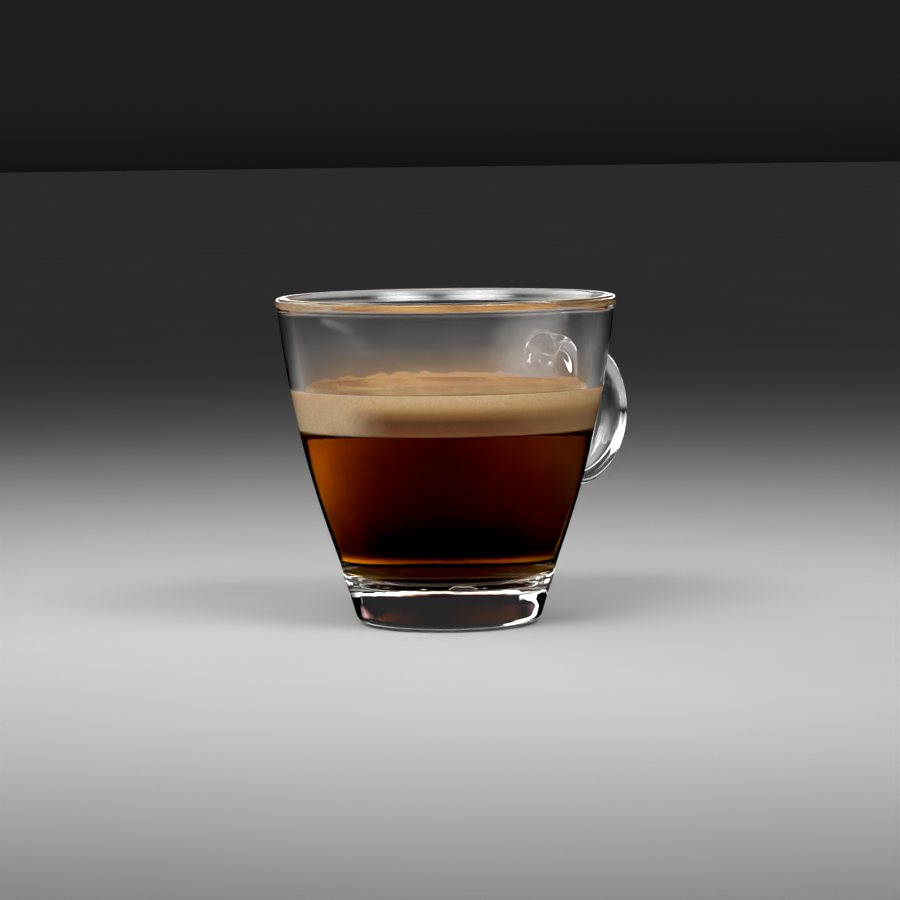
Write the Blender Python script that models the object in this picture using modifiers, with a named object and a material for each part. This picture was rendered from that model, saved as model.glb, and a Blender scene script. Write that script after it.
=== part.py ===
"""Espresso under a thick crema, in a clear glass cup with a small ring handle.

Metres, +Z up. The origin is the centre of the cup's flat underside, and +X points to the handle.
"""

import math

import bmesh
import bpy
import numpy as np
from mathutils import Vector
from mathutils.geometry import interpolate_bezier

# Cup
CUP_HEIGHT = 0.0625
RIM_RADIUS = 0.0325
WALL = 0.0028
LIP_BEVEL = 0.00122
LIP_BEAD = 0.00165
LIP_ROUNDS = (0.00045, 0.0008, 0.00035)
SIDE_RIM = (0.03215, 0.0602)
SIDE_RIM_HANDLE = (0.0284, 0.0274)
SIDE_FOOT_HANDLE = (0.0202, 0.0122)
SIDE_FOOT = (0.02015, 0.0087)
INNER_FLOOR = 0.0084
INNER_CORNER = 0.0064

# Foot under the cup's body
BASE_RADIUS = 0.0156
BASE_EDGE = 0.0024
FOOT_RADIUS = 0.01935
FOOT_HEIGHT = 0.0066

# Handle: an oval ring whose inner part is sunk in the wall, thicker towards both roots; its section
# is round at the wall and an oval, wider across the cup than it is thick, away from it
RING_REACH = 0.0368
RING_HEIGHT = 0.0378
RING_HALF_DEPTH = 0.0155
RING_HALF_HEIGHT = 0.01345
RING_END_TOP = math.radians(145)
RING_END_BASE = math.radians(-158)
HANDLE_RADIUS = 0.0016
HANDLE_STRETCH = 1.9
STRETCH_SPAN = 0.005
FLARE = 0.0026
FLARE_SPAN_TOP = 0.0032
FLARE_SPAN_BASE = 0.0055

# Drink
COFFEE_LEVEL = 0.0377
CREMA_LEVEL = 0.0448
MENISCUS = 0.0006
MENISCUS_SPAN = 0.0022
GAP = 0.0003

# Fineness
TURN_STEPS = 72
SIDE_POINTS = 15
INNER_POINTS = 14
CORNER_POINTS = 6
ROUND_POINTS = 4
BASE_POINTS = 5
FOAM_TOP_POINTS = 8
FOAM_SIDE_POINTS = 5
HANDLE_POINTS = 33
HANDLE_BEVEL = 5
MERGE = 0.00001


def clear_scene():
    for obj in list(bpy.data.objects):
        bpy.data.objects.remove(obj, do_unlink=True)


def new_collection(name):
    collection = bpy.data.collections.new(name)
    bpy.context.scene.collection.children.link(collection)
    return collection


def make_material(name, colour, roughness, transmission=0.0):
    material = bpy.data.materials.new(name)
    material.use_nodes = True
    shader = material.node_tree.nodes["Principled BSDF"]
    shader.inputs["Base Color"].default_value = (*colour, 1.0)
    shader.inputs["Roughness"].default_value = roughness
    shader.inputs["Metallic"].default_value = 0.0
    shader.inputs["Transmission Weight"].default_value = transmission
    return material


def arc(centre, radius, start, end, count):
    """Points (radius, height) of a round stretch of a profile, from one angle to another."""
    angles = np.linspace(start, end, count)
    return [(centre[0] + radius * math.cos(a), centre[1] + radius * math.sin(a)) for a in angles]


def rounded(points, rounds):
    """A polyline whose inner corners are rounded, each over its own length to both sides."""
    out = [points[0]]
    for before, corner, after, reach in zip(points, points[1:], points[2:], rounds):
        middle = Vector(corner)
        start = middle + (Vector(before) - middle).normalized() * reach
        stop = middle + (Vector(after) - middle).normalized() * reach
        for share in np.linspace(0.0, 1.0, ROUND_POINTS):
            point = start.lerp(middle, share).lerp(middle.lerp(stop, share), share)
            out.append((point.x, point.y))
    return out + [points[-1]]


SIDE = [
    (point.x, point.y)
    for point in interpolate_bezier(
        Vector(SIDE_RIM),
        Vector(SIDE_RIM_HANDLE),
        Vector(SIDE_FOOT_HANDLE),
        Vector(SIDE_FOOT),
        SIDE_POINTS,
    )
]


def side_radius(height):
    """Outer radius of the cup's body at a height above the foot."""
    return float(np.interp(height, [z for _, z in SIDE[::-1]], [r for r, _ in SIDE[::-1]]))


def inner_radius(height):
    """Radius of the cup's inside, which rounds in to the floor."""
    rise = min(max((height - INNER_FLOOR) / INNER_CORNER, 0.0), 1.0)
    return side_radius(height) - WALL - INNER_CORNER * (1 - math.sqrt(1 - (1 - rise) ** 2))


def corner_heights(bottom):
    """Heights up the rounded corner from a bottom level, closest where the corner is flattest."""
    span = INNER_FLOOR + INNER_CORNER - bottom
    steps = np.linspace(0.0, math.pi / 2, CORNER_POINTS)
    return [bottom + span * (1 - math.cos(a)) for a in steps]


def foot_profile():
    """Outer side of the foot, from the body down to the rim of the flat base."""
    edge = arc((BASE_RADIUS, BASE_EDGE), BASE_EDGE, 0.0, -math.pi / 2, BASE_POINTS)
    return [(FOOT_RADIUS, FOOT_HEIGHT)] + edge


def lip_profile():
    """Over the lip: its inner side leans outwards, and a small bead stands proud of the outer side."""
    inside = (inner_radius(SIDE_RIM[1]), SIDE_RIM[1])
    top_inside = (inside[0] + LIP_BEVEL, CUP_HEIGHT)
    top_outside = (RIM_RADIUS, CUP_HEIGHT)
    bead_foot = (RIM_RADIUS, CUP_HEIGHT - LIP_BEAD)
    return rounded([inside, top_inside, top_outside, bead_foot, SIDE_RIM], LIP_ROUNDS)


def cup_profile():
    """Closed profile: up the inside from the axis, over the lip, and down the outer side."""
    wall_heights = np.linspace(INNER_FLOOR + INNER_CORNER, SIDE_RIM[1], INNER_POINTS)
    heights = corner_heights(INNER_FLOOR) + list(wall_heights[1:])
    inside = [(0.0, INNER_FLOOR)] + [(inner_radius(z), z) for z in heights]
    return inside + lip_profile()[1:] + SIDE[1:] + foot_profile() + [(0.0, 0.0)]


def coffee_profile():
    """Down the liquid's side from its level to the floor, a gap clear of the glass."""
    bottom = INNER_FLOOR + GAP
    heights = list(np.linspace(COFFEE_LEVEL, INNER_FLOOR + INNER_CORNER, INNER_POINTS // 2))
    heights += corner_heights(bottom)[-2::-1]
    side = [(inner_radius(z) - GAP, z) for z in heights]
    return [(0.0, COFFEE_LEVEL)] + side + [(0.0, bottom)]


def crema_profile():
    """From the axis out to the foam's edge, where it climbs a little, and down its side."""
    edge = inner_radius(CREMA_LEVEL) - GAP
    top = []
    for step in np.linspace(1.0, 0.0, FOAM_TOP_POINTS):
        inset = edge * step**2
        climb = MENISCUS * math.exp(-inset / MENISCUS_SPAN)
        top.append((edge - inset, CREMA_LEVEL + climb))
    bottom = COFFEE_LEVEL + GAP
    heights = np.linspace(CREMA_LEVEL, bottom, FOAM_SIDE_POINTS)
    side = [(inner_radius(z) - GAP, z) for z in heights]
    return top + side + [(0.0, bottom)]


def turned(name, profile, collection, material=None):
    """A profile of (radius, height) points turned about Z into one closed body."""
    mesh = bpy.data.meshes.new(name)
    shape = bmesh.new()
    points = [shape.verts.new((radius, 0.0, height)) for radius, height in profile]
    for first, second in zip(points, points[1:]):
        shape.edges.new((first, second))
    shape.to_mesh(mesh)
    shape.free()
    obj = bpy.data.objects.new(name, mesh)
    collection.objects.link(obj)
    if material:
        mesh.materials.append(material)
    screw = obj.modifiers.new("turn", "SCREW")
    screw.axis = "Z"
    screw.angle = math.tau
    screw.steps = TURN_STEPS
    screw.render_steps = TURN_STEPS
    screw.use_smooth_shade = True
    screw.use_merge_vertices = True
    screw.merge_threshold = MERGE
    return obj


def handle_radius(reach, height):
    """Half the handle's thickness at a point of its ring, which grows as the wall comes near."""
    clearance = max(reach - side_radius(height), 0.0)
    upper = min(max(0.5 + (height - RING_HEIGHT) / RING_HALF_HEIGHT, 0.0), 1.0)
    upper = upper * upper * (3 - 2 * upper)
    span = FLARE_SPAN_BASE + (FLARE_SPAN_TOP - FLARE_SPAN_BASE) * upper
    return HANDLE_RADIUS + FLARE * math.exp(-clearance / span)


def stretched(point):
    """A point of the handle's round section, moved across the cup to make the section oval."""
    clearance = max(point.x - side_radius(point.z), 0.0)
    stretch = 1 + (HANDLE_STRETCH - 1) * (1 - math.exp(-clearance / STRETCH_SPAN))
    return Vector((point.x, point.y * stretch, point.z))


def handle_curve():
    """The ring's centre line as a curve with a round section, with both ends inside the cup."""
    curve = bpy.data.curves.new("handle_path", "CURVE")
    curve.dimensions = "3D"
    curve.bevel_depth = HANDLE_RADIUS
    curve.bevel_resolution = HANDLE_BEVEL
    curve.use_fill_caps = True
    spline = curve.splines.new("POLY")
    spline.points.add(HANDLE_POINTS - 1)
    for index, point in enumerate(spline.points):
        share = index / (HANDLE_POINTS - 1)
        angle = RING_END_TOP + share * (RING_END_BASE - RING_END_TOP)
        reach = RING_REACH + RING_HALF_DEPTH * math.cos(angle)
        height = RING_HEIGHT + RING_HALF_HEIGHT * math.sin(angle)
        point.co = (reach, 0.0, height, 1.0)
        point.radius = handle_radius(reach, height) / HANDLE_RADIUS
    return curve


def make_handle(collection, material):
    """The ring handle as a closed mesh."""
    path = bpy.data.objects.new("handle_path", handle_curve())
    collection.objects.link(path)
    bpy.context.view_layer.update()

    graph = bpy.context.evaluated_depsgraph_get()
    mesh = bpy.data.meshes.new_from_object(path.evaluated_get(graph))
    mesh.transform(path.matrix_world)
    mesh.materials.clear()
    mesh.materials.append(material)
    shape = bmesh.new()
    shape.from_mesh(mesh)
    bmesh.ops.remove_doubles(shape, verts=shape.verts, dist=MERGE)
    for vert in shape.verts:
        vert.co = stretched(vert.co)
    bmesh.ops.recalc_face_normals(shape, faces=shape.faces)
    shape.to_mesh(mesh)
    shape.free()
    bpy.data.objects.remove(path, do_unlink=True)

    handle = bpy.data.objects.new("handle_blank", mesh)
    collection.objects.link(handle)
    return as_helper(handle)


def as_helper(obj):
    """Marks an object that only shapes others."""
    obj.hide_render = True
    obj.display_type = "WIRE"
    return obj


def add_boolean(obj, operation, other):
    boolean = obj.modifiers.new(operation.lower(), "BOOLEAN")
    boolean.operation = operation
    boolean.solver = "EXACT"
    boolean.object = other


def make_cup(parts, helpers):
    """Body, foot and handle, one piece of glass: the handle ends halfway into the wall."""
    glass = make_material("clear_glass", (0.93, 0.95, 0.95), 0.02, transmission=1.0)
    middle = [(radius - WALL / 2, height) for radius, height in SIDE]
    core_profile = [(0.0, SIDE_RIM[1])] + middle + [(0.0, SIDE_FOOT[1])]
    core = as_helper(turned("wall_core", core_profile, helpers))
    handle = make_handle(helpers, glass)
    add_boolean(handle, "DIFFERENCE", core)
    cup = turned("glass_cup", cup_profile(), parts, glass)
    add_boolean(cup, "UNION", handle)


def make_coffee(parts):
    material = make_material("coffee", (0.09, 0.018, 0.004), 0.05)
    turned("coffee", coffee_profile(), parts, material)


def make_crema(parts):
    material = make_material("crema", (0.62, 0.38, 0.17), 0.45)
    turned("crema", crema_profile(), parts, material)


def main():
    clear_scene()
    parts = new_collection("espresso")
    helpers = new_collection("cutters")
    make_cup(parts, helpers)
    make_coffee(parts)
    make_crema(parts)


main()
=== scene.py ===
"""Looks of an espresso in a clear glass cup: the pressed glass, the coffee, its crema with small
bubbles, and the steam on the wall.

Metres, +Z up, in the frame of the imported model: the origin is under the cup, and +X points to the
handle.
"""

import math
import random

import bmesh
import bpy
import numpy as np
from mathutils import Matrix, Vector
from mathutils import noise as turbulence
from mathutils.geometry import interpolate_bezier


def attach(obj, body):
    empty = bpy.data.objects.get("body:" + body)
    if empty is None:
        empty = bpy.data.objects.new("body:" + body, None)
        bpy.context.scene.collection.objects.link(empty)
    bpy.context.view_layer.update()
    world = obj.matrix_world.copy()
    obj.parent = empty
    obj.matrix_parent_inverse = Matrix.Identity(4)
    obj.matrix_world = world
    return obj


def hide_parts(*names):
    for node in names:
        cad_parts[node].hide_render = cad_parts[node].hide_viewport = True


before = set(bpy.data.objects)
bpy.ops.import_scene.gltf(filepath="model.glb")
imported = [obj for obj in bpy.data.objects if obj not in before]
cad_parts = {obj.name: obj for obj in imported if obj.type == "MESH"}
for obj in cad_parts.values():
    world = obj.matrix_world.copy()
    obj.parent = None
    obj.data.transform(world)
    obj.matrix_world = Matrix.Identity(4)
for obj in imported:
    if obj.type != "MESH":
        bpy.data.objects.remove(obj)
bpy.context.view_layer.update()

# Cup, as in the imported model
CUP_HEIGHT = 0.0625
RIM_RADIUS = 0.0325
WALL = 0.0028
LIP_BEVEL = 0.00122
LIP_BEAD = 0.00165
LIP_INSIDE = 0.001
LIP_ROUNDS = (0.0004, 0.00045, 0.0008, 0.00035, 0.0003)
CREASE_ROUNDS = (0.0004, 0.0005)
SIDE_RIM = (0.03215, 0.0602)
SIDE_RIM_HANDLE = (0.0284, 0.0274)
SIDE_FOOT_HANDLE = (0.0202, 0.0122)
SIDE_FOOT = (0.02015, 0.0087)
INNER_FLOOR = 0.0084
INNER_CORNER = 0.0064
BASE_RADIUS = 0.0156
BASE_EDGE = 0.0024
FOOT_RADIUS = 0.01935
FOOT_HEIGHT = 0.0066

# Waves that pressing leaves at the crease over the foot: turns round the cup, start and share
MOULD_HEIGHT = 0.0072
MOULD_SPAN = 0.0016
MOULD_INSIDE = 0.015
MOULD_DEPTH = 0.00003
MOULD_WAVES = ((7, 1.3, 1.0), (17, 0.4, 0.6), (41, 2.1, 0.5))

# Handle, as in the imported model, with a small fillet where it meets the wall
RING_REACH = 0.0368
RING_HEIGHT = 0.0378
RING_HALF_DEPTH = 0.0155
RING_HALF_HEIGHT = 0.01345
RING_END_TOP = math.radians(145)
RING_END_BASE = math.radians(-158)
HANDLE_RADIUS = 0.0016
HANDLE_STRETCH = 1.9
STRETCH_SPAN = 0.005
FLARE = 0.0026
FLARE_SPAN_TOP = 0.0032
FLARE_SPAN_BASE = 0.0055
FILLET = 0.0011

# Drink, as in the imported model; the fillings reach a hair into the glass
COFFEE_LEVEL = 0.0377
CREMA_LEVEL = 0.0448
MENISCUS = 0.0006
MENISCUS_SPAN = 0.0022
COFFEE_BITE = 0.00004
CREMA_BITE = 0.00006
CREMA_SINK = 0.00003

# Foam: low swells of its top as (height, noise scale), and the sizes and places of its bubbles
SWELLS = ((0.00007, 260), (0.00003, 900))
SWELL_DEPTH = 0.0001
SWELL_EDGE = 0.0004
BUBBLES = 420
BUBBLE_SIZE = 0.00009
BUBBLE_GROWTH = 0.00026
BUBBLE_BIAS = 2.2
BUBBLE_EDGE = 0.0001
BUBBLES_NEAR_GLASS = 0.72
BUBBLE_INSET = 0.06
BUBBLE_INSET_MOST = 0.95
BUBBLE_SPACING = 1.02
BUBBLE_SUNK = (0.15, 0.45)

# Steam on the wall above the foam, and the cloud of it before the handle's upper root
HAZE_TOP = 0.0598
HAZE_DIP = 0.0004
HAZE_CLEAR = 0.00004
HAZE_SKIN = 0.00003
RESIDUE = 0.0019
ROOT_PLACE = (0.027, 0.0, 0.0485)
ROOT_CLOUD = 0.5

# Optics
GLASS_IOR = 1.5
COFFEE_IOR = 1.34
COFFEE_DENSITY = 320.0
COFFEE_ABSORBS = (90.0, 140.0, 315.0)

# Fineness
TURN_STEPS = 224
HAZE_STEPS = 160
SIDE_POINTS = 160
WALL_POINTS = 30
CORNER_POINTS = 22
FOOT_POINTS = 16
HAZE_POINTS = 60
CREMA_POINTS = 90
BAND_POINTS = 26
CREMA_CROWDING = 1.6
HANDLE_STATIONS = 190
HANDLE_SIDES = 56
HANDLE_CROWDING = 0.11
FILLET_ROUNDS = 4
WELD = 2e-6

# View of the photograph
VIEW_DISTANCE = 0.780
VIEW_AZIMUTH = math.radians(-50)
VIEW_ELEVATION = math.radians(4.81)
VIEW_ROLL = math.radians(-0.71)
VIEW_AIM_SIDE = 0.0005
VIEW_AIM_HEIGHT = 0.03292
LENS = 162.96
BACK_SIDE = (0.766, 0.643, 0.0)
# Side towards which the foam's band is painted paler, as if lit
LIT_SIDE = (-0.643, 0.766, 0.0)
LAMP_AIM = Vector((0.0, 0.0, 0.03))
LAMP_DISTANCE = 0.6
LAMP_GRID = math.radians(58)
BLACK_LEVEL = 0.005
FLOOR_REACH = 6.0
FLOOR_HEIGHT = -0.0002
FLOOR_SIDES = 96

# Lamps: azimuth from straight behind the cup towards the camera's right, elevation of the lower and
# the upper edge, and spread, in degrees as the cup sees them; radiance; shares of the width and the
# height over which the lamp grows dim towards its edges
LAMPS = {
    "left_box": (-88, -4, 60, 62, 2.8, (0.4, 0.04)),
    "left_back_box": (-54, 17, 44, 42, 5.5, (0.05, 0.06)),
    "right_box": (96, 1, 46, 62, 0.7, (0.4, 0.2)),
    "left_front_box": (-150, 32, 66, 64, 18.0, (0.3, 0.3)),
    "right_front_box": (142, 33, 62, 50, 18.0, (0.3, 0.3)),
    "top_box": (0, 70, 110, 40, 1.2, (0.3, 0.3)),
}

# Glow behind the cup: radiance by azimuth, and in degrees how high it stands, how it rises towards
# its ends and how it fades upwards
GLOW_SPAN = 90.0
GLOW_PEAK = 8.0
GLOW = (
    (-90, 0.0),
    (-66, 0.6),
    (-45, 1.25),
    (-29, 2.5),
    (-20, 4.4),
    (-10, 5.2),
    (0, 3.2),
    (9, 4.0),
    (17, 5.8),
    (26, 7.4),
    (38, 7.8),
    (55, 7.2),
    (63, 1.5),
    (84, 0.0),
)
GLOW_FLOOR = 4.2
GLOW_RISE = 0.0042
GLOW_FADE = 1.2
GLOW_FADE_RISE = 0.0009
GLOW_FADE_MOST = 1.9
GLOW_REDDENS = 0.4

# Colours
CREMA_TOP = (
    (0.0, (0.17, 0.06, 0.011)),
    (0.38, (0.29, 0.13, 0.028)),
    (0.72, (0.42, 0.24, 0.065)),
    (1.0, (0.54, 0.36, 0.13)),
)
# Painted highlight: a pale ring on the foam's top close to the glass, on the front half only
CREMA_RING_HIGHLIGHT = (0.96, 0.74, 0.42)
# Band of foam through the glass, from the coffee up: partly the foam's own layers, partly painted shade
# that is darkest a third of the way up, with a painted highlight along the pale top edge
CREMA_BAND_LAYERS_SHADE_HIGHLIGHT = (
    (0.0, (0.40, 0.16, 0.045)),
    (0.10, (0.27, 0.08, 0.015)),
    (0.36, (0.17, 0.046, 0.006)),
    (0.56, (0.46, 0.21, 0.045)),
    (0.72, (0.88, 0.56, 0.23)),
    (0.90, (1.0, 0.74, 0.43)),
    (1.0, (0.98, 0.72, 0.40)),
)
# Painted light and shade on the foam's band: paler to the lit side and darker to the other, both partly
# the foam's own uneven tone
CREMA_LIT_LEFT = (1.0, 0.74, 0.45)
CREMA_SHADED_RIGHT = (0.85, 0.56, 0.25)
CREMA_PITS = (0.36, 0.16, 0.05)
BUBBLE_FILM = (0.95, 0.78, 0.55)
HAZE_VEIL = ((0.0, 0.40), (0.2, 0.20), (0.45, 0.07), (0.8, 0.02), (1.0, 0.0))
# Tint of the steam by height: tan low down, partly foam residue and partly a painted reflection of the
# foam's top
HAZE_TINT_FOAM_REFLECTION = (
    (0.0, (0.44, 0.25, 0.10)),
    (0.2, (0.34, 0.23, 0.13)),
    (0.45, (0.34, 0.31, 0.29)),
    (1.0, (0.45, 0.45, 0.47)),
)
HAZE_ROOT = (0.33, 0.32, 0.31)
FLOOR_TONES = ((0.35, 0.35, 0.347), (0.39, 0.39, 0.386))
SKY = (
    (0.0, (0.0, 0.0, 0.0)),
    (0.06, (0.0, 0.0, 0.0)),
    (0.1, (0.018, 0.018, 0.019)),
    (1.0, (0.05, 0.05, 0.052)),
)


# Profiles

SIDE = [
    (point.x, point.y)
    for point in interpolate_bezier(
        Vector(SIDE_RIM),
        Vector(SIDE_RIM_HANDLE),
        Vector(SIDE_FOOT_HANDLE),
        Vector(SIDE_FOOT),
        SIDE_POINTS,
    )
]
SIDE_HEIGHTS = np.array([z for _, z in SIDE[::-1]])
SIDE_RADII = np.array([r for r, _ in SIDE[::-1]])


def side_radius(height):
    """Outer radius of the cup's body at a height above the foot."""
    return float(np.interp(height, SIDE_HEIGHTS, SIDE_RADII))


def inner_radius(height):
    """Radius of the cup's inside, which rounds in to the floor."""
    rise = min(max((height - INNER_FLOOR) / INNER_CORNER, 0.0), 1.0)
    return side_radius(height) - WALL - INNER_CORNER * (1 - math.sqrt(1 - (1 - rise) ** 2))


def corner_heights(bottom, count):
    """Heights up the rounded inner corner, closest where it is flattest."""
    span = INNER_FLOOR + INNER_CORNER - bottom
    return [bottom + span * (1 - math.cos(a)) for a in np.linspace(0.0, math.pi / 2, count)]


def arc(centre, radius, start, end, count):
    """Points (radius, height) of a round stretch of a profile, from one angle to another."""
    angles = np.linspace(start, end, count)
    return [(centre[0] + radius * math.cos(a), centre[1] + radius * math.sin(a)) for a in angles]


def rounded(points, rounds, count=8):
    """A polyline whose inner corners are rounded, each over its own length to both sides."""
    out = [points[0]]
    for before, corner, after, reach in zip(points, points[1:], points[2:], rounds):
        middle = Vector(corner)
        start = middle + (Vector(before) - middle).normalized() * reach
        stop = middle + (Vector(after) - middle).normalized() * reach
        for share in np.linspace(0.0, 1.0, count):
            point = start.lerp(middle, share).lerp(middle.lerp(stop, share), share)
            out.append((point.x, point.y))
    return out + [points[-1]]


def lip_profile():
    """Over the lip: its inner side leans outwards, and a small bead stands proud of the outer side."""
    inside = (inner_radius(SIDE_RIM[1]), SIDE_RIM[1])
    below = (inner_radius(SIDE_RIM[1] - LIP_INSIDE), SIDE_RIM[1] - LIP_INSIDE)
    top_inside = (inside[0] + LIP_BEVEL, CUP_HEIGHT)
    bead_foot = (RIM_RADIUS, CUP_HEIGHT - LIP_BEAD)
    corners = [below, inside, top_inside, (RIM_RADIUS, CUP_HEIGHT), bead_foot, SIDE_RIM, SIDE[3]]
    return rounded(corners, LIP_ROUNDS)


def cup_profile():
    """Up the inside from the axis, over the beaded lip, down the side and round the foot."""
    lower = np.linspace(INNER_FLOOR + INNER_CORNER, COFFEE_LEVEL, WALL_POINTS)
    upper = np.linspace(COFFEE_LEVEL, SIDE_RIM[1] - LIP_INSIDE, WALL_POINTS)
    heights = corner_heights(INNER_FLOOR, CORNER_POINTS) + list(lower[1:]) + list(upper[1:])
    inside = [(0.0, INNER_FLOOR)] + [(inner_radius(z), z) for z in heights]
    slope = math.atan2(FOOT_RADIUS - BASE_RADIUS - BASE_EDGE, FOOT_HEIGHT - BASE_EDGE)
    edge = arc((BASE_RADIUS, BASE_EDGE), BASE_EDGE, -slope, -math.pi / 2, FOOT_POINTS)
    crease = rounded([SIDE[-6], SIDE[-1], (FOOT_RADIUS, FOOT_HEIGHT), edge[0]], CREASE_ROUNDS)
    shares = np.linspace(0.0, 1.0, FOOT_POINTS)
    foot = [tuple(Vector(crease[-2]).lerp(Vector(edge[0]), share)) for share in shares]
    outside = SIDE[3:-6] + crease[:-2] + foot[:-1] + edge + [(0.0, 0.0)]
    return inside[:-1] + lip_profile()[:-1] + outside


def coffee_profile():
    """The coffee from its level on the axis, down the inner wall and back along the floor."""
    heights = list(np.linspace(COFFEE_LEVEL, INNER_FLOOR + INNER_CORNER, WALL_POINTS))
    heights += corner_heights(INNER_FLOOR, CORNER_POINTS)[-2:0:-1]
    side = [(inner_radius(z) + COFFEE_BITE, z) for z in heights]
    bottom = INNER_FLOOR - COFFEE_BITE
    corner = (inner_radius(INNER_FLOOR) + COFFEE_BITE, bottom)
    return [(0.0, COFFEE_LEVEL)] + side + [corner, (0.0, bottom)]


def haze_profile():
    """A thin skin just inside the wall above the foam, down its outer face and up its inner one."""
    heights = np.linspace(HAZE_TOP, CREMA_LEVEL + MENISCUS - HAZE_DIP, HAZE_POINTS)
    outer = [(inner_radius(z) - HAZE_CLEAR, z) for z in heights]
    inner = [(inner_radius(z) - HAZE_CLEAR - HAZE_SKIN, z) for z in heights[::-1]]
    return outer + inner + [outer[0]]


def crema_profile():
    """The foam from the axis out over its top, which climbs at the glass, and down to the coffee."""
    edge = inner_radius(CREMA_LEVEL) + CREMA_BITE
    top = []
    for step in np.linspace(1.0, 0.0, CREMA_POINTS):
        inset = edge * step**CREMA_CROWDING
        top.append((edge - inset, CREMA_LEVEL + MENISCUS * math.exp(-inset / MENISCUS_SPAN)))
    bottom = COFFEE_LEVEL - CREMA_SINK
    heights = np.linspace(CREMA_LEVEL + MENISCUS, bottom, BAND_POINTS)
    side = [(inner_radius(z) + CREMA_BITE, z) for z in heights]
    return top[:-1] + side + [(0.0, bottom)]


# Meshes


def mesh_object(name, verts, faces, material=None):
    """A smooth mesh of the given corners and faces, facing outwards, as an object in the scene."""
    mesh = bpy.data.meshes.new(name)
    mesh.from_pydata([tuple(v) for v in verts], [], faces)
    mesh.validate()
    shape = bmesh.new()
    shape.from_mesh(mesh)
    bmesh.ops.recalc_face_normals(shape, faces=shape.faces)
    shape.to_mesh(mesh)
    shape.free()
    mesh.polygons.foreach_set("use_smooth", [True] * len(mesh.polygons))
    obj = bpy.data.objects.new(name, mesh)
    bpy.context.scene.collection.objects.link(obj)
    if material:
        mesh.materials.append(material)
    return obj


def turned(name, profile, material=None, steps=TURN_STEPS, ripple=None):
    """A profile of (radius, height) points turned about Z into one closed mesh."""
    verts = []
    rings = []
    angles = np.linspace(0.0, math.tau, steps, endpoint=False)
    for radius, height in profile:
        if radius < 1e-9:
            rings.append([len(verts)])
            verts.append((0.0, 0.0, height))
            continue
        rings.append(list(range(len(verts), len(verts) + steps)))
        for angle in angles:
            r, z = ripple(radius, height, angle) if ripple else (radius, height)
            verts.append((r * math.cos(angle), r * math.sin(angle), z))
    if profile[0] == profile[-1]:
        verts = verts[: rings[-1][0]]
        rings[-1] = rings[0]
    faces = []
    for a, b in zip(rings, rings[1:]):
        for i in range(steps):
            j = (i + 1) % steps
            corners = [a[i % len(a)], a[j % len(a)], b[j % len(b)], b[i % len(b)]]
            faces.append(tuple(dict.fromkeys(corners)))
    return mesh_object(name, verts, faces, material)


def foam_ripple(radius, height, angle):
    """Very low swells on the foam's top."""
    edge = inner_radius(CREMA_LEVEL)
    if height < CREMA_LEVEL - SWELL_DEPTH or radius > edge - SWELL_EDGE:
        return radius, height
    spot = Vector((radius * math.cos(angle), radius * math.sin(angle), 0.0))
    for swell, scale in SWELLS:
        height += swell * turbulence.noise(spot * scale)
    return radius, height


def make_bubbles(material):
    """Small balls part sunk in the foam's top, most of them near the glass, as one mesh."""
    draw = random.Random(7)
    edge = inner_radius(CREMA_LEVEL) - BUBBLE_EDGE
    balls = []
    while len(balls) < BUBBLES:
        size = BUBBLE_SIZE + BUBBLE_GROWTH * draw.random() ** BUBBLE_BIAS
        if draw.random() < BUBBLES_NEAR_GLASS:
            inset = edge * min(draw.expovariate(1.0) * BUBBLE_INSET, BUBBLE_INSET_MOST)
        else:
            inset = edge * draw.random()
        angle = draw.uniform(0.0, math.tau)
        radius = edge - size - inset
        if radius < 0.0:
            continue
        x, y = radius * math.cos(angle), radius * math.sin(angle)
        if any(
            math.hypot(x - bx, y - by) < (size + other) * BUBBLE_SPACING
            for bx, by, _, other in balls
        ):
            continue
        level = CREMA_LEVEL + MENISCUS * math.exp(-(edge - radius) / MENISCUS_SPAN)
        balls.append((x, y, level - size * draw.uniform(*BUBBLE_SUNK), size))
    shape = bmesh.new()
    for x, y, z, size in balls:
        spot = Matrix.Translation((x, y, z))
        bmesh.ops.create_icosphere(shape, subdivisions=2, radius=size, matrix=spot)
    mesh = bpy.data.meshes.new("crema_bubbles")
    shape.to_mesh(mesh)
    shape.free()
    mesh.polygons.foreach_set("use_smooth", [True] * len(mesh.polygons))
    mesh.materials.append(material)
    obj = bpy.data.objects.new("crema_bubbles", mesh)
    bpy.context.scene.collection.objects.link(obj)
    return obj


def handle_radius(reach, height):
    """Half the handle's thickness at a point of its ring, which grows as the wall comes near."""
    clearance = max(reach - side_radius(height), 0.0)
    upper = min(max(0.5 + (height - RING_HEIGHT) / RING_HALF_HEIGHT, 0.0), 1.0)
    upper = upper * upper * (3 - 2 * upper)
    span = FLARE_SPAN_BASE + (FLARE_SPAN_TOP - FLARE_SPAN_BASE) * upper
    return HANDLE_RADIUS + FLARE * math.exp(-clearance / span)


def stretched(point):
    """A point of the handle's round section, moved across the cup to make the section oval."""
    clearance = max(point.x - side_radius(point.z), 0.0)
    stretch = 1 + (HANDLE_STRETCH - 1) * (1 - math.exp(-clearance / STRETCH_SPAN))
    return Vector((point.x, point.y * stretch, point.z))


def fillet(x, y, z):
    """How much the handle swells at a point near the wall, so that it runs into it in a round."""
    gap = min(max(math.hypot(x, y) - side_radius(z), 0.0), FILLET)
    return FILLET - math.sqrt(FILLET**2 - (FILLET - gap) ** 2)


def handle_stations():
    """Angles round the ring, closest together near both roots."""
    share = np.linspace(0.0, 1.0, HANDLE_STATIONS)
    eased = share + HANDLE_CROWDING * np.sin(share * math.tau)
    return RING_END_TOP + eased * (RING_END_BASE - RING_END_TOP)


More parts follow.
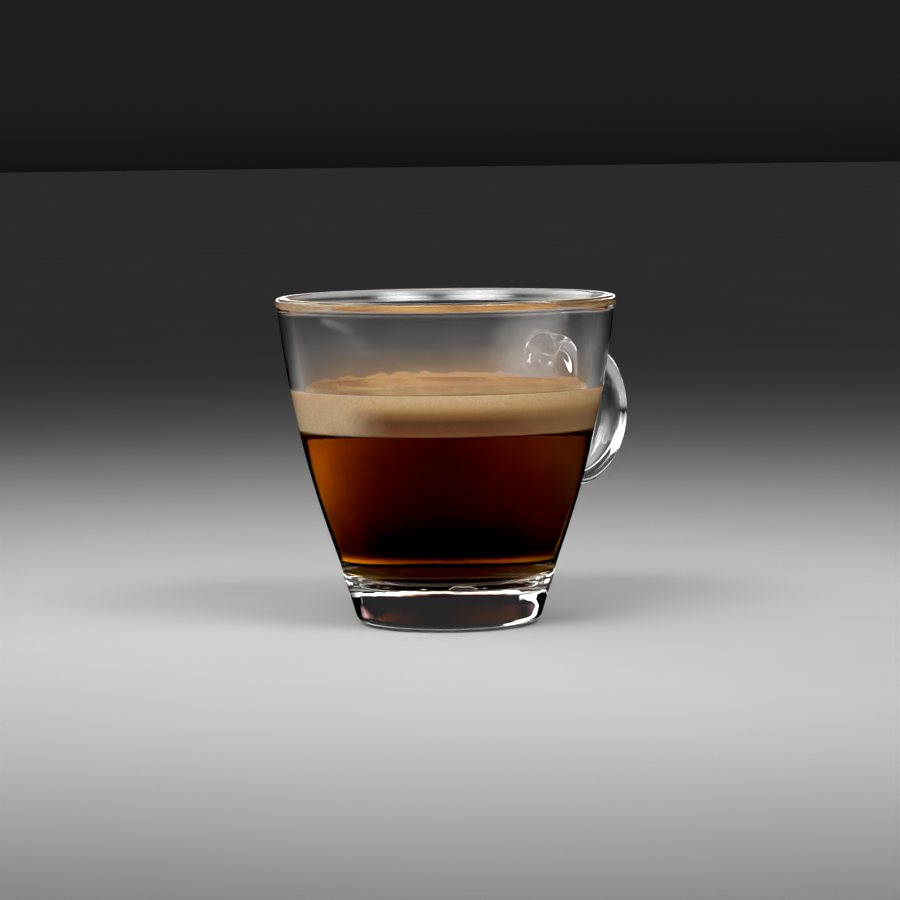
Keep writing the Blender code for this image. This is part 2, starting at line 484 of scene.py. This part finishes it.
def make_handle_blank():
    """The handle's ring with both ends sunk in the wall, before the wall is cut from it."""
    verts = []
    for angle in handle_stations():
        across, along = math.cos(angle), math.sin(angle)
        reach = RING_REACH + RING_HALF_DEPTH * across
        height = RING_HEIGHT + RING_HALF_HEIGHT * along
        middle = Vector((reach, 0.0, height))
        out = Vector((RING_HALF_HEIGHT * across, 0.0, RING_HALF_DEPTH * along)).normalized()
        radius = handle_radius(reach, height)
        for turn in np.linspace(0.0, math.tau, HANDLE_SIDES, endpoint=False):
            direction = out * math.cos(turn) + Vector((0.0, math.sin(turn), 0.0))
            swell = 0.0
            for _ in range(FILLET_ROUNDS):
                swell = fillet(*stretched(middle + direction * (radius + swell)))
            verts.append(stretched(middle + direction * (radius + swell)))
    faces = []
    for k in range(HANDLE_STATIONS - 1):
        for i in range(HANDLE_SIDES):
            j = (i + 1) % HANDLE_SIDES
            a = k * HANDLE_SIDES
            b = a + HANDLE_SIDES
            faces.append((a + i, a + j, b + j, b + i))
    faces.append(tuple(range(HANDLE_SIDES)))
    last = (HANDLE_STATIONS - 1) * HANDLE_SIDES
    faces.append(tuple(range(last, last + HANDLE_SIDES)))
    return mesh_object("handle_blank", verts, faces)


def boolean(obj, operation, other):
    """Adds an exact boolean of another object to this one."""
    modifier = obj.modifiers.new(operation.lower(), "BOOLEAN")
    modifier.operation = operation
    modifier.solver = "EXACT"
    modifier.object = other


def applied(obj):
    """Bakes an object's modifiers into its mesh."""
    bpy.context.view_layer.update()
    graph = bpy.context.evaluated_depsgraph_get()
    mesh = bpy.data.meshes.new_from_object(obj.evaluated_get(graph))
    obj.modifiers.clear()
    old = obj.data
    obj.data = mesh
    bpy.data.meshes.remove(old)


def mould_ripple(radius, height, angle):
    """Slight waves that pressing leaves in the thick glass at the crease over the foot."""
    near = math.exp(-(((height - MOULD_HEIGHT) / MOULD_SPAN) ** 2))
    if radius < MOULD_INSIDE or near < 0.01:
        return radius, height
    wave = sum(share * math.sin(turns * angle + start) for turns, start, share in MOULD_WAVES)
    return radius + MOULD_DEPTH * near * wave, height


def make_cup(material, wetted):
    """The cup with its handle as one piece of glass; the wall under the coffee has its own material."""
    handle = make_handle_blank()
    middle = [(radius - WALL / 2, height) for radius, height in SIDE]
    core = turned("wall_core", [(0.0, middle[0][1])] + middle + [(0.0, SIDE_FOOT[1])])
    boolean(handle, "DIFFERENCE", core)
    applied(handle)
    cup = turned("cup_glass", cup_profile(), material, ripple=mould_ripple)
    boolean(cup, "UNION", handle)
    applied(cup)
    for helper in (handle, core):
        bpy.data.objects.remove(helper, do_unlink=True)
    shape = bmesh.new()
    shape.from_mesh(cup.data)
    bmesh.ops.remove_doubles(shape, verts=shape.verts, dist=WELD)
    bmesh.ops.dissolve_degenerate(shape, edges=shape.edges, dist=WELD)
    shape.to_mesh(cup.data)
    shape.free()
    cup.data.materials.clear()
    cup.data.materials.append(material)
    cup.data.materials.append(wetted)
    for face in cup.data.polygons:
        centre = face.center
        inside = math.hypot(centre.x, centre.y) < inner_radius(centre.z) + 0.0002
        face.material_index = int(inside and INNER_FLOOR - 0.0001 < centre.z < COFFEE_LEVEL)
        face.use_smooth = True
    return cup


# Materials


def new_material(name, values):
    """A material, its node tree and its shader, with the shader's constants set."""
    material = bpy.data.materials.new(name)
    material.use_nodes = True
    tree = material.node_tree
    shader = tree.nodes["Principled BSDF"]
    for key, value in values.items():
        shader.inputs[key].default_value = value
    return material, tree, shader


def clear_values(ior, roughness=0.0, colour=(1.0, 1.0, 1.0)):
    """The shader's constants for something that light passes through."""
    return {
        "Base Color": (*colour, 1.0),
        "Roughness": roughness,
        "IOR": ior,
        "Transmission Weight": 1.0,
    }


def add(tree, kind, inputs=None, **settings):
    """A node with its settings and inputs; an input given as a socket is linked."""
    node = tree.nodes.new(kind)
    for key, value in settings.items():
        setattr(node, key, value)
    for key, value in (inputs or {}).items():
        socket = node.inputs[key]
        if isinstance(value, bpy.types.NodeSocket):
            tree.links.new(value, socket)
        else:
            socket.default_value = value
    return node


def ramp(tree, factor, stops):
    """A colour ramp with (position, colour) stops."""
    node = add(tree, "ShaderNodeValToRGB", {"Fac": factor})
    elements = node.color_ramp.elements
    while len(elements) < len(stops):
        elements.new(0.5)
    for element, (position, colour) in zip(elements, stops):
        element.position = position
        element.color = (*colour, 1.0)
    return node.outputs["Color"]


def remap(tree, value, low, high, to_low=0.0, to_high=1.0, smooth=False):
    """A value carried from one range to another, and held at its ends."""
    kind = "SMOOTHSTEP" if smooth else "LINEAR"
    inputs = {
        "Value": value,
        "From Min": low,
        "From Max": high,
        "To Min": to_low,
        "To Max": to_high,
    }
    return add(tree, "ShaderNodeMapRange", inputs, interpolation_type=kind).outputs["Result"]


def maths(tree, operation, a, b=0.0):
    """The result of one sum on two values or sockets."""
    return add(tree, "ShaderNodeMath", {0: a, 1: b}, operation=operation).outputs[0]


def vector_maths(tree, operation, a, b=(0.0, 0.0, 0.0)):
    """A vector maths node on two vectors."""
    return add(tree, "ShaderNodeVectorMath", {0: a, 1: tuple(b)}, operation=operation)


def dot(tree, vector, axis):
    """How far a vector reaches along an axis."""
    return vector_maths(tree, "DOT_PRODUCT", vector, axis).outputs["Value"]


def mix_colour(tree, factor, a, b):
    """Colour a turned into colour b by a factor; each may be a socket."""
    node = add(tree, "ShaderNodeMix", data_type="RGBA")
    for index, value in ((0, factor), (6, a), (7, b)):
        socket = node.inputs[index]
        if isinstance(value, bpy.types.NodeSocket):
            tree.links.new(value, socket)
        elif index == 0:
            socket.default_value = value
        else:
            socket.default_value = (*value, 1.0)
    return node.outputs[2]


def noise(tree, vector, scale, detail=2.0, roughness=0.5, distortion=0.0):
    """Cloudy noise between 0 and 1."""
    inputs = {
        "Vector": vector,
        "Scale": scale,
        "Detail": detail,
        "Roughness": roughness,
        "Distortion": distortion,
    }
    return add(tree, "ShaderNodeTexNoise", inputs).outputs["Fac"]


def cell_distance(tree, vector, scale):
    """Distance from the middle of the nearest cell of a cellular pattern."""
    inputs = {"Vector": vector, "Scale": scale}
    return add(tree, "ShaderNodeTexVoronoi", inputs, feature="F1").outputs["Distance"]


def place(tree):
    """Object coordinates, whole and split into X, Y and Z."""
    coordinates = add(tree, "ShaderNodeTexCoord").outputs["Object"]
    split = add(tree, "ShaderNodeSeparateXYZ", {"Vector": coordinates})
    return coordinates, split


def glass_material(name, ior):
    """Clear pressed glass with very slight waves; ior is what it is against its neighbour."""
    material, tree, shader = new_material(name, clear_values(ior))
    coordinates, _ = place(tree)
    waves = noise(tree, coordinates, 90.0, 1.0)
    bump = add(tree, "ShaderNodeBump", {"Height": waves, "Strength": 0.10, "Distance": 0.0006})
    tree.links.new(bump.outputs["Normal"], shader.inputs["Normal"])
    return material


def coffee_material():
    """Clear brown liquid: amber where it is thin, dark red where it is deep, then black."""
    material, tree, _ = new_material("espresso", clear_values(1.0))
    passes = [1 - share / COFFEE_DENSITY for share in COFFEE_ABSORBS]
    inputs = {"Color": (*passes, 1.0), "Density": COFFEE_DENSITY}
    absorb = add(tree, "ShaderNodeVolumeAbsorption", inputs)
    tree.links.new(absorb.outputs["Volume"], tree.nodes["Material Output"].inputs["Volume"])
    return material


def crema_material():
    """Wet foam: golden brown clouds on top, with a painted highlight in a pale ring by the glass on the
    front half; through the glass a band of the foam's layers with painted shade, dark low down, and a
    painted highlight, pale above, made paler to one side by painted light and darker to the other by
    painted shade; fine pits all over."""
    values = {
        "Subsurface Weight": 0.3,
        "Subsurface Radius": (1.0, 0.5, 0.22),
        "Subsurface Scale": 0.0016,
    }
    material, tree, shader = new_material("crema", values)
    coordinates, split = place(tree)
    height = split.outputs["Z"]

    clouds = noise(tree, coordinates, 95.0, 3.0, 0.55, 0.6)
    streaks = noise(tree, coordinates, 260.0, 4.0, 0.6, 1.6)
    tone = maths(tree, "MULTIPLY", clouds, 0.62)
    tone = maths(tree, "ADD", tone, maths(tree, "MULTIPLY", streaks, 0.38))
    top = ramp(tree, remap(tree, tone, 0.34, 0.66), CREMA_TOP)
    around = add(tree, "ShaderNodeCombineXYZ", {axis: split.outputs[axis] for axis in "XY"})
    radius = vector_maths(tree, "LENGTH", around.outputs["Vector"]).outputs["Value"]
    edge = inner_radius(CREMA_LEVEL)
    # Painted highlight along the foam's top close to the glass, on the half away from BACK_SIDE only
    front = remap(tree, dot(tree, coordinates, BACK_SIDE), 0.004, -0.012, 0.0, 0.9)
    ring = maths(tree, "MULTIPLY", remap(tree, radius, edge - 0.0024, edge - 0.0005), front)
    top = mix_colour(tree, ring, top, CREMA_RING_HIGHLIGHT)
    # Band through the glass: foam layers with painted shade low down and a painted highlight at the top
    band = ramp(tree, remap(tree, height, COFFEE_LEVEL, CREMA_LEVEL + 0.0004), CREMA_BAND_LAYERS_SHADE_HIGHLIGHT)
    # Painted light: the band is paler to one side and, as painted shade, darker to the other, over
    # cloudy foam tone
    aside = maths(tree, "MULTIPLY", clouds, 0.012)
    aside = maths(tree, "ADD", dot(tree, coordinates, LIT_SIDE), aside)
    right = remap(tree, aside, 0.002, -0.018, 0.0, 0.4, smooth=True)
    left = remap(tree, aside, 0.015, 0.028, smooth=True)
    band = mix_colour(tree, right, band, CREMA_SHADED_RIGHT)
    band = mix_colour(tree, left, band, CREMA_LIT_LEFT)
    facing = add(tree, "ShaderNodeNewGeometry").outputs["Normal"]
    upward = add(tree, "ShaderNodeSeparateXYZ", {"Vector": facing}).outputs["Z"]
    colour = mix_colour(tree, remap(tree, upward, 0.35, 0.8, smooth=True), band, top)

    fine = maths(tree, "MULTIPLY", cell_distance(tree, coordinates, 3600.0), 0.6)
    coarse = maths(tree, "MULTIPLY", cell_distance(tree, coordinates, 1400.0), 0.4)
    cells = maths(tree, "ADD", fine, coarse)
    colour = mix_colour(tree, remap(tree, cells, 0.25, 0.75, 0.0, 0.22), colour, CREMA_PITS)
    tree.links.new(colour, shader.inputs["Base Color"])

    rough = remap(tree, streaks, 0.3, 0.7, 0.34, 0.52)
    tree.links.new(rough, shader.inputs["Roughness"])
    inputs = {"Height": cells, "Strength": 0.25, "Distance": 0.00012}
    bump = add(tree, "ShaderNodeBump", inputs, invert=True)
    tree.links.new(bump.outputs["Normal"], shader.inputs["Normal"])
    return material


def bubble_material():
    """The tan film of a bubble, which bends light less than solid liquid does."""
    return new_material("crema_bubble_film", clear_values(1.18, 0.02, BUBBLE_FILM))[0]


def haze_material():
    """Steam and foam residue on the glass above the foam: tan and thick low down, the tan partly a
    painted reflection of the foam's top, thin and grey towards the lip.
    """
    material, tree, shader = new_material("steam_on_glass", {"Roughness": 0.5})
    coordinates, split = place(tree)
    height = split.outputs["Z"]
    foam = CREMA_LEVEL + MENISCUS
    rise = remap(tree, height, foam, HAZE_TOP)
    behind = remap(tree, dot(tree, coordinates, BACK_SIDE), -0.004, 0.022, smooth=True)

    clouds = noise(tree, coordinates, 110.0, 3.0, 0.55, 0.4)
    veil = ramp(tree, rise, [(share, (value,) * 3) for share, value in HAZE_VEIL])
    root = vector_maths(tree, "DISTANCE", coordinates, ROOT_PLACE).outputs["Value"]
    near = remap(tree, root, 0.013, 0.003, smooth=True)
    veil = maths(tree, "ADD", veil, maths(tree, "MULTIPLY", near, ROOT_CLOUD))
    veil = maths(tree, "MULTIPLY", veil, remap(tree, clouds, 0.3, 0.7, 0.7, 1.25))
    drops = cell_distance(tree, coordinates, 2600.0)
    veil = maths(tree, "MULTIPLY", veil, remap(tree, drops, 0.1, 0.6, 1.1, 0.92))
    veil = maths(tree, "MULTIPLY", veil, remap(tree, behind, 0.0, 1.0, 0.45, 1.0))

    ragged = remap(tree, noise(tree, coordinates, 240.0, 3.0), 0.3, 0.7, 0.0003, RESIDUE)
    reach = maths(tree, "MULTIPLY", ragged, remap(tree, behind, 0.0, 1.0, 0.15, 1.0))
    over = maths(tree, "DIVIDE", maths(tree, "SUBTRACT", height, foam), reach)
    residue = maths(tree, "MULTIPLY", remap(tree, over, 1.15, 0.55, smooth=True), 0.85)
    alpha = maths(tree, "MAXIMUM", veil, residue)
    tree.links.new(alpha, shader.inputs["Alpha"])

    # Tan low down: partly foam residue, partly a painted reflection of the foam's top on the wall
    tint = mix_colour(tree, maths(tree, "MULTIPLY", near, 0.8), ramp(tree, rise, HAZE_TINT_FOAM_REFLECTION), HAZE_ROOT)
    tree.links.new(tint, shader.inputs["Base Color"])
    return material


def floor_material():
    """A plain matte floor with a faint grain."""
    values = {"Roughness": 0.9, "Specular IOR Level": 0.0}
    material, tree, shader = new_material("pale_floor", values)
    coordinates, _ = place(tree)
    colour = mix_colour(tree, noise(tree, coordinates, 14.0, 4.0), *FLOOR_TONES)
    tree.links.new(colour, shader.inputs["Base Color"])
    return material


# Stage, lights and camera


def camera_axes():
    """The camera's forward axis and its rolled right axis, then forward and right kept level."""
    level = Vector((-math.sin(VIEW_AZIMUTH), math.cos(VIEW_AZIMUTH), 0.0))
    down = Vector((0.0, 0.0, -math.sin(VIEW_ELEVATION)))
    forward = level * math.cos(VIEW_ELEVATION) + down
    right = Vector((math.cos(VIEW_AZIMUTH), math.sin(VIEW_AZIMUTH), 0.0))
    up = right.cross(forward)
    return forward, right * math.cos(VIEW_ROLL) + up * math.sin(VIEW_ROLL), level, right


def make_camera():
    """The camera at the photograph's viewing angle."""
    forward, rolled, _, right = camera_axes()
    up = rolled.cross(forward)
    camera = bpy.data.objects.new("camera", bpy.data.cameras.new("camera"))
    bpy.context.scene.collection.objects.link(camera)
    camera.data.lens = LENS
    camera.data.sensor_width = 36.0
    camera.data.clip_start = 0.01
    camera.data.clip_end = 20.0
    aim = right * VIEW_AIM_SIDE + Vector((0.0, 0.0, VIEW_AIM_HEIGHT))
    turn = Matrix((rolled, up, -forward)).transposed()
    camera.matrix_world = Matrix.Translation(aim - forward * VIEW_DISTANCE) @ turn.to_4x4()
    bpy.context.scene.camera = camera


def softbox(name, azimuth, low, high, spread, radiance, soft):
    """A soft area lamp aimed at the cup, as LAMPS gives it; a grid keeps its light near the cup."""
    _, _, level, right = camera_axes()
    turn = math.radians(azimuth)
    rise = math.radians((low + high) / 2)
    out = (right * math.sin(turn) + level * math.cos(turn)) * math.cos(rise)
    out += Vector((0.0, 0.0, math.sin(rise)))
    light = bpy.data.lights.new(name, "AREA")
    light.shape = "RECTANGLE"
    light.size = 2 * LAMP_DISTANCE * math.tan(math.radians(spread / 2))
    light.size_y = 2 * LAMP_DISTANCE * math.tan(math.radians((high - low) / 2))
    light.spread = LAMP_GRID
    gathered = 1 - (LAMP_GRID / 2) / math.tan(LAMP_GRID / 2)
    light.energy = radiance * math.pi * light.size * light.size_y * gathered
    light.use_nodes = True
    tree = light.node_tree
    across = add(tree, "ShaderNodeNewGeometry").outputs["Parametric"]
    across = add(tree, "ShaderNodeSeparateXYZ", {"Vector": across})
    strength = 1.0
    for axis, share in zip("XY", soft):
        offset = maths(tree, "ABSOLUTE", maths(tree, "SUBTRACT", across.outputs[axis], 0.5))
        inset = maths(tree, "SUBTRACT", 0.5, offset)
        strength = maths(tree, "MULTIPLY", strength, remap(tree, inset, 0.0, share, smooth=True))
    tree.links.new(strength, tree.nodes["Emission"].inputs["Strength"])
    obj = bpy.data.objects.new(name, light)
    obj.location = LAMP_AIM + out * LAMP_DISTANCE
    obj.rotation_euler = (-out).to_track_quat("-Z", "Y").to_euler()
    obj.visible_camera = False
    bpy.context.scene.collection.objects.link(obj)


def make_world():
    """A dim studio, with a low soft glow behind the cup that shines through the coffee."""
    world = bpy.data.worlds.new("studio")
    world.use_nodes = True
    tree = world.node_tree
    _, _, level, right = camera_axes()
    direction = add(tree, "ShaderNodeTexCoord").outputs["Generated"]
    height = add(tree, "ShaderNodeSeparateXYZ", {"Vector": direction}).outputs["Z"]
    azimuth = maths(tree, "ARCTAN2", dot(tree, direction, right), dot(tree, direction, level))
    azimuth = maths(tree, "DEGREES", azimuth)
    squared = maths(tree, "MULTIPLY", azimuth, azimuth)
    elevation = maths(tree, "DEGREES", maths(tree, "ARCSINE", height))

    share = remap(tree, azimuth, -GLOW_SPAN, GLOW_SPAN)
    stops = [((a + GLOW_SPAN) / (2 * GLOW_SPAN), (value / GLOW_PEAK,) * 3) for a, value in GLOW]
    glow = maths(tree, "MULTIPLY", ramp(tree, share, stops), GLOW_PEAK)
    edge = maths(tree, "MULTIPLY", squared, GLOW_RISE)
    above = maths(tree, "SUBTRACT", elevation, maths(tree, "ADD", edge, GLOW_FLOOR))
    fade = maths(tree, "MULTIPLY", squared, GLOW_FADE_RISE)
    fade = maths(tree, "MINIMUM", maths(tree, "ADD", fade, GLOW_FADE), GLOW_FADE_MOST)
    over = maths(tree, "DIVIDE", maths(tree, "MAXIMUM", above, 0.0), fade)
    dying = maths(tree, "POWER", math.e, maths(tree, "MULTIPLY", over, -1.0))
    glow = maths(tree, "MULTIPLY", glow, dying)
    for value, low, high in ((elevation, 1.8, 3.4), (above, -4.0, -2.4), (over, 2.7, 1.5)):
        glow = maths(tree, "MULTIPLY", glow, remap(tree, value, low, high, smooth=True))
    redder = maths(tree, "POWER", math.e, maths(tree, "MULTIPLY", over, -GLOW_REDDENS))
    redder = maths(tree, "MULTIPLY", glow, redder)
    glow = add(tree, "ShaderNodeCombineXYZ", {"X": glow, "Y": redder, "Z": redder}).outputs["Vector"]

    sky = ramp(tree, remap(tree, height, -0.1, 0.9), SKY)
    total = add(tree, "ShaderNodeVectorMath", {0: sky, 1: glow}, operation="ADD")
    tree.links.new(total.outputs["Vector"], tree.nodes["Background"].inputs["Color"])
    bpy.context.scene.world = world


def make_stage():
    """The floor, the lamps, the world and the view's tones."""
    angles = np.linspace(0.0, math.tau, FLOOR_SIDES, endpoint=False)
    verts = [(0.0, 0.0, FLOOR_HEIGHT)]
    verts += [(FLOOR_REACH * math.cos(a), FLOOR_REACH * math.sin(a), FLOOR_HEIGHT) for a in angles]
    faces = [(0, 1 + i, 1 + (i + 1) % FLOOR_SIDES) for i in range(FLOOR_SIDES)]
    floor = mesh_object("floor", verts, faces, floor_material())
    floor.visible_glossy = False
    for name, values in LAMPS.items():
        softbox(name, *values)
    make_world()
    view = bpy.context.scene.view_settings
    view.view_transform = "Standard"
    view.look = "None"
    view.use_curve_mapping = True
    view.curve_mapping.black_level = (BLACK_LEVEL,) * 3
    view.curve_mapping.update()


def dress(obj, slot, *nodes):
    """Ties a piece to the model's one body and hides the model's nodes that it replaces; its slot is
    not used.
    """
    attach(obj, "root")
    if nodes:
        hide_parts(*nodes)


make_camera()
make_stage()
clear = glass_material("pressed_clear_glass", GLASS_IOR)
wetted = glass_material("glass_against_coffee", GLASS_IOR / COFFEE_IOR)
dress(make_cup(clear, wetted), "clear_glass", "glass_cup")
dress(turned("coffee_liquid", coffee_profile(), coffee_material()), "coffee", "coffee")
dress(turned("crema_foam", crema_profile(), crema_material(), ripple=foam_ripple), "crema", "crema")
dress(make_bubbles(bubble_material()), "crema")
dress(turned("steam_haze", haze_profile(), haze_material(), HAZE_STEPS), "clear_glass")

cycles = bpy.context.scene.cycles
cycles.max_bounces = 24
cycles.transmission_bounces = 24
cycles.glossy_bounces = 12
cycles.diffuse_bounces = 4
cycles.transparent_max_bounces = 16
